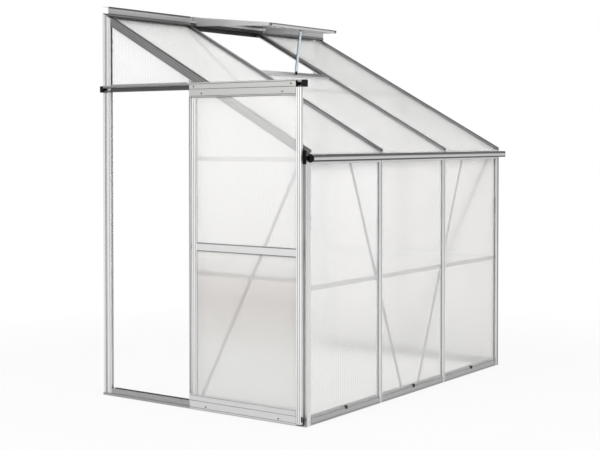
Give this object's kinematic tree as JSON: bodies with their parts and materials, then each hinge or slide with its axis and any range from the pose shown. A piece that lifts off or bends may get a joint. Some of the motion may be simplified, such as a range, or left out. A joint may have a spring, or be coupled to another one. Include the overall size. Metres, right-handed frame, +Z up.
{
  "type": "lean-to greenhouse",
  "caption": "Lean-to greenhouse for a house wall: aluminium frame, twin-wall sheets, sliding gable door, propped roof vent and front gutter.",
  "frame": {"origin": "on the ground, in the middle of the whole outline seen from above", "axes": "+X along the greenhouse from the door's gable to the plain gable, +Y from the front wall to the house wall, +Z up"},
  "size_m": [1.933, 1.29, 1.95],
  "materials": {
    "mill_aluminium": "bare extruded aluminium, satin",
    "strap_aluminium": "bare rolled strip, satin",
    "twin_wall_sheet": "clear hollow twin-wall sheet, smooth",
    "black_plastic": "moulded, matt black",
    "roller_plastic": "moulded, off-white",
    "spring_wire": "bright spring steel",
    "plated_steel": "zinc plated"
  },
  "bodies": {
    "frame": {"base_rail_front": "mill_aluminium", "base_rail_far_gable": "mill_aluminium", "door_sill": "mill_aluminium", "corner_post_near": "mill_aluminium", "corner_post_far": "mill_aluminium", "wall_post_near": "mill_aluminium", "wall_post_far": "mill_aluminium", "front_bar_near": "mill_aluminium", "front_bar_far": "mill_aluminium", "door_jamb": "mill_aluminium", "far_gable_bar": "mill_aluminium", "gutter": "mill_aluminium", "eave_beam": "mill_aluminium", "ridge_rail": "mill_aluminium", "rafter_near": "mill_aluminium", "rafter_far": "mill_aluminium", "gable_rafter_near": "mill_aluminium", "gable_rafter_far": "mill_aluminium", "front_mid_rail": "mill_aluminium", "gable_rails": "mill_aluminium", "front_braces": "strap_aluminium", "gable_braces": "strap_aluminium", "roof_purlin": "strap_aluminium", "roof_braces": "strap_aluminium", "vent_sill": "mill_aluminium", "door_head": "mill_aluminium", "door_track": "mill_aluminium", "front_sheet_near": "twin_wall_sheet", "front_sheet_middle": "twin_wall_sheet", "front_sheet_far": "twin_wall_sheet", "roof_sheet_near": "twin_wall_sheet", "roof_sheet_middle": "twin_wall_sheet", "roof_sheet_far": "twin_wall_sheet", "gable_sheet_beside_door": "twin_wall_sheet", "gable_sheet_over_door": "twin_wall_sheet", "gable_sheet_far_front": "twin_wall_sheet", "gable_sheet_far_wall": "twin_wall_sheet", "glazing_clips": "spring_wire", "sheet_foot_clips": "black_plastic", "gutter_outlet": "black_plastic", "end_caps": "black_plastic", "frame_bolts": "plated_steel"},
    "door": {"door_stiles": "mill_aluminium", "door_header": "mill_aluminium", "door_kick_plate": "mill_aluminium", "door_mid_rail": "mill_aluminium", "door_sheet_lower": "twin_wall_sheet", "door_sheet_upper": "twin_wall_sheet", "door_axles": "plated_steel", "door_plastics": "black_plastic", "door_screws": "plated_steel"},
    "roller_front": {"door_roller_front": "roller_plastic"},
    "roller_wall": {"door_roller_wall": "roller_plastic"},
    "vent": {"vent_side_rails": "mill_aluminium", "vent_hinge_rail": "mill_aluminium", "vent_free_rail": "mill_aluminium", "vent_sheet": "twin_wall_sheet"},
    "stay": {"vent_stay": "strap_aluminium", "vent_stay_foot": "black_plastic"}
  },
  "joints": [
    {"name": "door_slide", "type": "slide", "parent": "frame", "child": "door", "axis": [0, 1, 0], "range_m": [0, 0.58]},
    {"name": "roller_front_turn", "type": "hinge", "parent": "door", "child": "roller_front", "pos_m": [-0.95, -0.536, 1.5373], "axis": [1, 0, 0], "continuous": true},
    {"name": "roller_wall_turn", "type": "hinge", "parent": "door", "child": "roller_wall", "pos_m": [-0.95, 0.03, 1.5373], "axis": [1, 0, 0], "continuous": true},
    {"name": "vent_hinge", "type": "hinge", "parent": "frame", "child": "vent", "pos_m": [0.015, 0.59214, 1.938], "axis": [1, 0, 0], "range_deg": [0, 26.1]},
    {"name": "stay_fold", "type": "hinge", "parent": "vent", "child": "stay", "pos_m": [0.015, 0.1032, 1.87354], "axis": [1, 0, 0], "range_deg": [-1, 90]}
  ],
  "couplings": [
    {"joint": "roller_front_turn", "follows": "door_slide", "rad_per_m": -142.86},
    {"joint": "roller_wall_turn", "follows": "door_slide", "rad_per_m": -142.86},
    {"joint": "stay_fold", "follows": "vent_hinge", "ratio": 3.3903}
  ]
}
